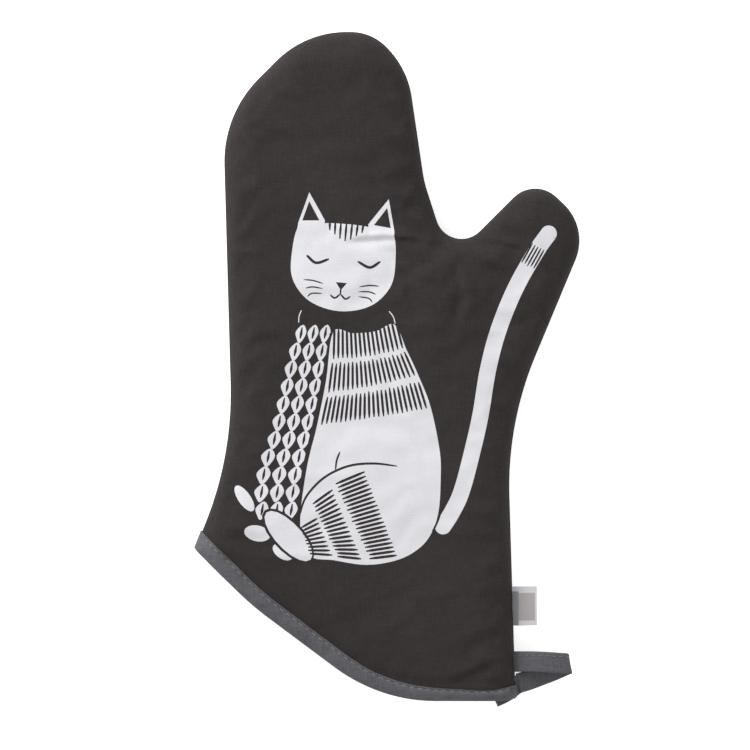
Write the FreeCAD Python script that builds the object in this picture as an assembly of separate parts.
"""Padded oven mitt, lying flat with its printed side up.

Layers of each half, from outside to inside: printed or plain cotton skin, batting, cotton lining.
The raw cuff edge is wrapped by a folded binding tape, whose end runs on as a hanging loop, and a
folded label is caught in the side seam. The cloth is one piece across the knuckle line and the
thumb line: the solids are divided there only because each one has to follow a rigid body.

Frame: +Z up, out of the printed side. +Y points to the fingertips, +X to the thumb. The origin is the
bottom centre of the whole mitt. All sizes are in millimetres.
"""
import FreeCAD, Part
import math
import os

V = FreeCAD.Vector

# ---- driving dimensions ------------------------------------------------------------------------
# The pattern is drawn from the crotch between fingers and thumb, which is its (0, 0).
finger_reach = 109.2              # crotch to fingertips
finger_left = -123.5              # little-finger side of the finger pocket
tip_shoulder = 43.4               # 45 degree shoulder on the little-finger side
tip_flat = 35.2                   # nearly straight top of the fingertips
index_shoulder = (18.5, 19.7)     # width and height of the shoulder on the index side
palm_length = 243.2               # crotch to the cuff's lowest edge
cuff_rise = 80.7                  # how much higher the cuff ends on the little-finger side
cuff_knee = (-107.4, 49.8)        # where the slant steepens: its x, and height above the lowest edge
cuff_bend_x = -40.6               # where the slanting cuff turns level
waist_little = (-118.4, -114.5)   # where the little-finger side starts to flare out
waist_thumb = (26.3, -97.6)       # where the thumb side turns down to the wrist
little_flare = 0.40               # sideways flare of the little-finger side, per length
thumb_flare = 0.03                # the same on the thumb side
index_bend = (-17.6, 30.0)        # where the index side turns in to the crotch
crotch_corner = (-3.9, -12.4)
thumb_tip_corner = (41.0, 32.5)
thumb_outer_corner = (69.5, 6.0)

waist_little_radius = 185.0
tip_little_radius = 62.0
tip_top_radius = 52.0
tip_index_radius = 26.0
index_radius = 46.0
index_bend_radius = 60.0
crotch_radius = 14.0
thumb_tip_radius = 15.8
thumb_outer_radius = 26.4
waist_thumb_radius = 180.0
cuff_bend_radius = 89.0
cuff_knee_radius = 150.0

mitt_thickness = 24.0             # lying flat, padding not compressed
skin = 0.6                        # outer cotton
batting = 6.0
lining = 0.5
seam_height = 0.8                 # thread and turned edge between the two skins
binding_ply = 1.0                 # one side of the folded binding tape
binding_width = 9.0               # how far the binding covers the cuff
edge_steps = 3                    # steps in each quarter of the rounded edge

finger_hinge_up = 30.0            # knuckle line above the crotch
finger_fold_deg = 90.0
thumb_hinge_out = 15.0            # thumb fold line beyond the crotch
thumb_line_deg = 45.0             # which way the thumb points, from +X
thumb_fold_deg = 60.0
hinge_above_seam = 6.0            # fold lines above the middle of the mitt
fold_gap = 0.3                    # between solids that move apart

stitch_length = 3.0
stitch_pitch = 4.2
stitch_width = 0.6
stitch_depth = 0.25               # how deep the thread lies in the tape
stitch_inset = 1.7                # topstitch to the binding's inner edge
stitch_margin = 16.0              # no topstitch on the rounded sides

tape_width = 9.4                  # hanging loop
tape_thickness = 1.6
loop_reach = 28.6                 # side seam to the loop's folded end
loop_upper_rise = 20.0            # upper leg above the cuff's lowest edge
loop_lower_rise = 4.9             # lower leg above it, at the side seam
loop_fold_rise = 17.0             # folded end above it
loop_bulge = 2.7                  # how far each leg stands off the other midway
root_gap = 0.6                    # seam to the legs, so that they can swing
loop_fold_radius = 1.7
loop_stitch_inset = 1.6
leg_steps = 6                     # stations along each leg
fold_steps = 4                    # stations round the fold

tag_length = 12.2                 # side seam to the folded end
tag_width = 20.6
tag_thickness = 0.6
tag_rise = 49.3                   # centre of the label above the cuff's lowest edge

# ---- worked-out values ---------------------------------------------------------------------------
half = mitt_thickness / 2
cuff_y = -palm_length
hinge_z = half + hinge_above_seam
cavity_depth = skin + batting + lining
FAR = 400.0

corners = [
    ((waist_little[0] + little_flare * (cuff_y - 50.0 - waist_little[1]), cuff_y - 50.0), 0.0),
    (waist_little, waist_little_radius),
    ((finger_left, finger_reach - tip_shoulder), tip_little_radius),
    ((finger_left + tip_shoulder, finger_reach), tip_top_radius),
    ((finger_left + tip_shoulder + tip_flat, finger_reach), tip_index_radius),
    ((finger_left + tip_shoulder + tip_flat + index_shoulder[0], finger_reach - index_shoulder[1]),
     index_radius),
    (index_bend, index_bend_radius),
    (crotch_corner, crotch_radius),
    (thumb_tip_corner, thumb_tip_radius),
    (thumb_outer_corner, thumb_outer_radius),
    (waist_thumb, waist_thumb_radius),
    ((waist_thumb[0] - thumb_flare * (cuff_y - 50.0 - waist_thumb[1]), cuff_y - 50.0), 0.0),
]


# ---- shapes --------------------------------------------------------------------------------------
def unit(a, b):
    """The direction from a to b."""
    length = math.hypot(b[0] - a[0], b[1] - a[1])
    return ((b[0] - a[0]) / length, (b[1] - a[1]) / length)


def rounded(points, inset, z, closed=True):
    """Edges of a polygon or line with rounded corners, moved to the right of its direction by inset."""
    n = len(points)
    stops = []
    for i, (p, radius) in enumerate(points):
        if not closed and i in (0, n - 1):
            d = unit(points[0][0], points[1][0]) if i == 0 else unit(points[-2][0], p)
            stops.append([V(p[0] + d[1] * inset, p[1] - d[0] * inset, z)])
            continue
        before = unit(points[i - 1][0], p)
        after = unit(p, points[(i + 1) % n][0])
        turn = math.atan2(before[0] * after[1] - before[1] * after[0],
                          before[0] * after[0] + before[1] * after[1])
        if radius == 0.0:
            back = inset * math.tan(-turn / 2)
            stops.append([V(p[0] + before[1] * inset - before[0] * back,
                            p[1] - before[0] * inset - before[1] * back, z)])
            continue
        side = math.copysign(1.0, turn)
        reach = radius * math.tan(abs(turn) / 2)
        centre = (p[0] - before[0] * reach - side * before[1] * radius,
                  p[1] - before[1] * reach + side * before[0] * radius)
        first, last = (before[1], -before[0]), (after[1], -after[0])
        middle = unit((0.0, 0.0), (first[0] + last[0], first[1] + last[1]))
        arm = side * (radius + side * inset)
        stops.append([V(centre[0] + arm * s[0], centre[1] + arm * s[1], z) for s in (first, middle, last)])
    edges = []
    for i, stop in enumerate(stops):
        if len(stop) == 3:
            edges.append(Part.Arc(*stop).toShape())
        if closed or i < n - 1:
            edges.append(Part.LineSegment(stop[-1], stops[(i + 1) % n][0]).toShape())
    return edges


def puffed(depth):
    """The closed pillow shape that lies depth inside the mitt's outer surface."""
    rise = half - depth
    wires = []
    for k in range(-edge_steps, edge_steps + 1):
        angle = math.pi / 2 * k / edge_steps
        inset = depth + rise * (1 - math.cos(angle))
        wires.append(Part.Wire(rounded(corners, inset, half + rise * math.sin(angle))))
    return Part.makeLoft(wires, True, True)


def cuff_edges(inset, z):
    """The cuff's edge moved up into the mitt by inset, running on far past both sides."""
    end_y = cuff_y + cuff_rise
    little_x = waist_little[0] + little_flare * (end_y - waist_little[1])
    knee = (cuff_knee[0], cuff_y + cuff_knee[1])
    fall = unit((little_x, end_y), knee)
    far_end = (knee[0] - fall[0] * FAR, knee[1] - fall[1] * FAR)
    line = [((FAR, cuff_y), 0.0), ((cuff_bend_x, cuff_y), cuff_bend_radius), (knee, cuff_knee_radius), (far_end, 0.0)]
    return rounded(line, inset, z, closed=False)


def above_cuff(inset):
    """Everything on the fingers' side of the cuff's edge moved in by inset."""
    edges = cuff_edges(inset, -FAR)
    first, last = edges[0].Vertexes[0].Point, edges[-1].Vertexes[-1].Point
    ring = [last, V(-2 * FAR, last.y, -FAR), V(-2 * FAR, FAR, -FAR), V(FAR, FAR, -FAR), first]
    edges += [Part.LineSegment(a, b).toShape() for a, b in zip(ring, ring[1:])]
    return Part.Face(Part.Wire(edges)).extrude(V(0, 0, 2 * FAR))


def cuff_band(low, high):
    """The band between the cuff's edge moved in by low and by high."""
    return above_cuff(low).cut(above_cuff(high))


def level(low, high):
    """Everything between two heights."""
    return Part.makeBox(4 * FAR, 4 * FAR, high - low, V(-2 * FAR, -2 * FAR, low))


def beyond(hinge, gap, lean):
    """Everything past a hinge line, from gap away; above the line its face leans by lean per height."""
    (x, y), direction, first_side = hinge
    out = V(math.cos(direction), math.sin(direction), 0)
    across = V(-out.y, out.x, 0)
    profile = [(gap, -FAR), (gap, hinge_z), (gap + lean * FAR, hinge_z + FAR),
               (2 * FAR, hinge_z + FAR), (2 * FAR, -FAR)]
    start = V(x, y, 0) - across * FAR
    ring = [start + out * s + V(0, 0, z) for s, z in profile]
    face = Part.Face(Part.makePolygon(ring + ring[:1]))
    return face.extrude(across * (FAR + first_side))


def side_x(y):
    """The thumb-side seam at height y along the wrist."""
    return waist_thumb[0] + thumb_flare * (waist_thumb[1] - y)


def tape(stations, low, high, inner, outer):
    """A strip through the stations, each (x, y, z, normal angle), from low to high across its width."""
    wires = []
    for x, y, z, angle in stations:
        n = V(math.cos(angle), 0, math.sin(angle))
        p = V(x, y, z)
        ring = [p + n * a + V(0, b, 0) for a, b in ((inner, low), (outer, low), (outer, high), (inner, high))]
        wires.append(Part.makePolygon(ring + ring[:1]))
    return Part.makeLoft(wires, True, True)


# ---- the layers ----------------------------------------------------------------------------------
mitt = above_cuff(0.0)
cut_edge = above_cuff(binding_ply)
free = above_cuff(binding_width)
bound = cuff_band(binding_ply, binding_width)
web = cuff_band(0.0, binding_ply)
step = cuff_band(binding_width, binding_width + skin)

outside = puffed(0.0)
under_skin = puffed(skin)
under_ply = puffed(binding_ply)
under_bound_skin = puffed(binding_ply + skin)
under_batting = puffed(skin + batting)
cavity = puffed(cavity_depth)
cuff_mouth = puffed(cavity_depth + binding_ply)

skin_shell = outside.cut(under_skin).common(free)
skin_shell = skin_shell.fuse(outside.cut(under_bound_skin).common(step))
skin_shell = skin_shell.fuse(under_ply.cut(under_bound_skin).common(bound)).removeSplitter()
batting_shell = under_ply.cut(under_batting).common(cut_edge)
batting_shell = batting_shell.fuse(under_skin.cut(under_ply).common(free))
batting_shell = batting_shell.cut(skin_shell).removeSplitter()
lining_shell = under_batting.cut(cavity).common(cut_edge)

binding = outside.cut(under_ply).common(bound)
binding = binding.fuse(cavity.cut(cuff_mouth).common(bound))
binding = binding.fuse(outside.cut(cuff_mouth).common(web)).removeSplitter()

# ---- topstitch on both faces of the binding --------------------------------------------------------
line = Part.Wire(cuff_edges(binding_width - stitch_inset, 0.0))
count = int(line.Length / stitch_pitch)
points = line.discretize(Number=count + 1)
little_end = waist_little[0] + little_flare * (cuff_y + cuff_rise - waist_little[1]) + stitch_margin
thumb_end = side_x(cuff_y) - stitch_margin
stitches = []
for a, b in zip(points, points[1:]):
    if not (little_end < a.x < thumb_end and little_end < b.x < thumb_end):
        continue
    along = (b - a).normalize()
    across = V(-along.y, along.x, 0) * (stitch_width / 2)
    for z in (0.0, mitt_thickness - stitch_depth):
        start = (a + b) * 0.5 - along * (stitch_length / 2) + V(0, 0, z)
        end = start + along * stitch_length
        ring = [start - across, end - across, end + across, start + across]
        face = Part.Face(Part.makePolygon(ring + ring[:1]))
        stitches.append(face.extrude(V(0, 0, stitch_depth)))
topstitch = Part.makeCompound(stitches)
binding = binding.cut(topstitch)

# ---- bodies: palm, fingers and thumb ---------------------------------------------------------------
thumb_direction = math.radians(thumb_line_deg)
thumb_root = (thumb_hinge_out * math.cos(thumb_direction), thumb_hinge_out * math.sin(thumb_direction))
knuckles = ((-crotch_radius / 2, finger_hinge_up), math.pi / 2, FAR)
thumb_fold = (thumb_root, thumb_direction, crotch_radius)
finger_lean = math.tan(math.radians(finger_fold_deg) / 2)
thumb_lean = math.tan(math.radians(thumb_fold_deg) / 2)
index_side = Part.makeBox(FAR, 3 * FAR, 3 * FAR, V(0, 0, -FAR))

finger_part = beyond(knuckles, fold_gap / 2, finger_lean).cut(index_side)
not_palm_fingers = beyond(knuckles, -fold_gap / 2, -finger_lean).cut(index_side)
thumb_part = beyond(thumb_fold, fold_gap / 2, thumb_lean)
not_palm_thumb = beyond(thumb_fold, -fold_gap / 2, -thumb_lean)

parts = {}
seam_low, seam_high = half - seam_height / 2, half + seam_height / 2
for name, shell, low, high in (("outer_front", skin_shell, seam_high, FAR),
                               ("outer_back", skin_shell, -FAR, seam_low),
                               ("side_seam", skin_shell, seam_low, seam_high),
                               ("batting_front", batting_shell, half, FAR),
                               ("batting_back", batting_shell, -FAR, half),
                               ("lining_front", lining_shell, half, FAR),
                               ("lining_back", lining_shell, -FAR, half)):
    layer = shell.common(level(low, high))
    parts[name + "_palm"] = layer.cut(not_palm_fingers).cut(not_palm_thumb)
    parts[name + "_fingers"] = layer.common(finger_part)
    parts[name + "_thumb"] = layer.common(thumb_part)

parts["cuff_binding"] = binding
parts["binding_topstitch"] = topstitch

# ---- hanging loop: one tape, out from the seam, folded, and back to the cuff's corner --------------
upper_y = cuff_y + loop_upper_rise
lower_y = cuff_y + loop_lower_rise
fold_y = cuff_y + loop_fold_rise
start_x = side_x(upper_y) + root_gap
end_x = side_x(lower_y) + root_gap
fold_x = side_x(upper_y) + loop_reach - loop_fold_radius - tape_thickness
middle_radius = loop_fold_radius + tape_thickness / 2


def leg_height(t):
    """Height of a leg's middle from the seam, t of the way from its root to the fold."""
    return middle_radius * t + loop_bulge * math.sin(math.pi * t)


stations = []
for k in range(leg_steps):
    t = k / leg_steps
    stations.append((start_x + (fold_x - start_x) * t, upper_y + (fold_y - upper_y) * t,
                     half + leg_height(t), math.pi / 2))
for k in range(fold_steps + 1):
    angle = math.pi / 2 - math.pi * k / fold_steps
    stations.append((fold_x + middle_radius * math.cos(angle), fold_y,
                     half + middle_radius * math.sin(angle), angle))
for k in range(leg_steps - 1, -1, -1):
    t = k / leg_steps
    stations.append((end_x + (fold_x - end_x) * t, lower_y + (fold_y - lower_y) * t,
                     half - leg_height(t), -math.pi / 2))
width = tape_width / 2
thread_top = -width + loop_stitch_inset + stitch_width
loop = tape(stations, -width, width, -tape_thickness / 2, tape_thickness / 2)
thread = tape(stations, thread_top - stitch_width, thread_top,
              tape_thickness / 2 - stitch_depth, tape_thickness / 2)
parts["hanging_loop_tape"] = loop.cut(thread)
parts["hanging_loop_stitch"] = thread

# ---- folded label ----------------------------------------------------------------------------------
tag_y = cuff_y + tag_rise
tag_x = side_x(tag_y - tag_width / 2) + fold_gap
ply = tag_thickness / 2
low_y = tag_y - tag_width / 2
tag_ring = [V(tag_x, low_y, half - ply), V(tag_x + tag_length - ply, low_y, half - ply),
            V(tag_x + tag_length, low_y, half), V(tag_x + tag_length - ply, low_y, half + ply),
            V(tag_x, low_y, half + ply)]
tag_edges = [Part.LineSegment(tag_ring[0], tag_ring[1]).toShape(),
             Part.Arc(tag_ring[1], tag_ring[2], tag_ring[3]).toShape(),
             Part.LineSegment(tag_ring[3], tag_ring[4]).toShape(),
             Part.LineSegment(tag_ring[4], tag_ring[0]).toShape()]
parts["side_label"] = Part.Face(Part.Wire(tag_edges)).extrude(V(0, tag_width, 0))

# ---- move the origin to the bottom centre and write the parts -----------------------------------------
box = Part.makeCompound(list(parts.values())).optimalBoundingBox()
shift = V(-(box.XMin + box.XMax) / 2, -(box.YMin + box.YMax) / 2, -box.ZMin)
os.makedirs("parts", exist_ok=True)
for name, shape in parts.items():
    placed = shape.copy()
    placed.translate(shift)
    solids = placed.Solids
    placed = solids[0] if len(solids) == 1 else Part.makeCompound(solids)
    placed.exportStep("parts/" + name + ".step")
    size = placed.optimalBoundingBox()
    print(f"{name}: {len(solids)} solids, {placed.Volume:.0f} mm3, x {size.XMin:.1f}..{size.XMax:.1f},"
          f" y {size.YMin:.1f}..{size.YMax:.1f}, z {size.ZMin:.2f}..{size.ZMax:.2f}")
points = {
    "crotch": V(0, 0, half),
    "knuckle hinge": V(knuckles[0][0], knuckles[0][1], hinge_z),
    "thumb hinge": V(thumb_root[0], thumb_root[1], hinge_z),
    "loop hinge": V(side_x((upper_y + lower_y) / 2) + 2 * root_gap, (upper_y + lower_y) / 2, half),
    "label hinge": V(tag_x + fold_gap, tag_y, half),
    "cuff's lowest edge": V(cuff_bend_x, cuff_y, half),
}
for name, point in points.items():
    point = point + shift
    print(f"{name}: {point.x:.2f}, {point.y:.2f}, {point.z:.2f}")
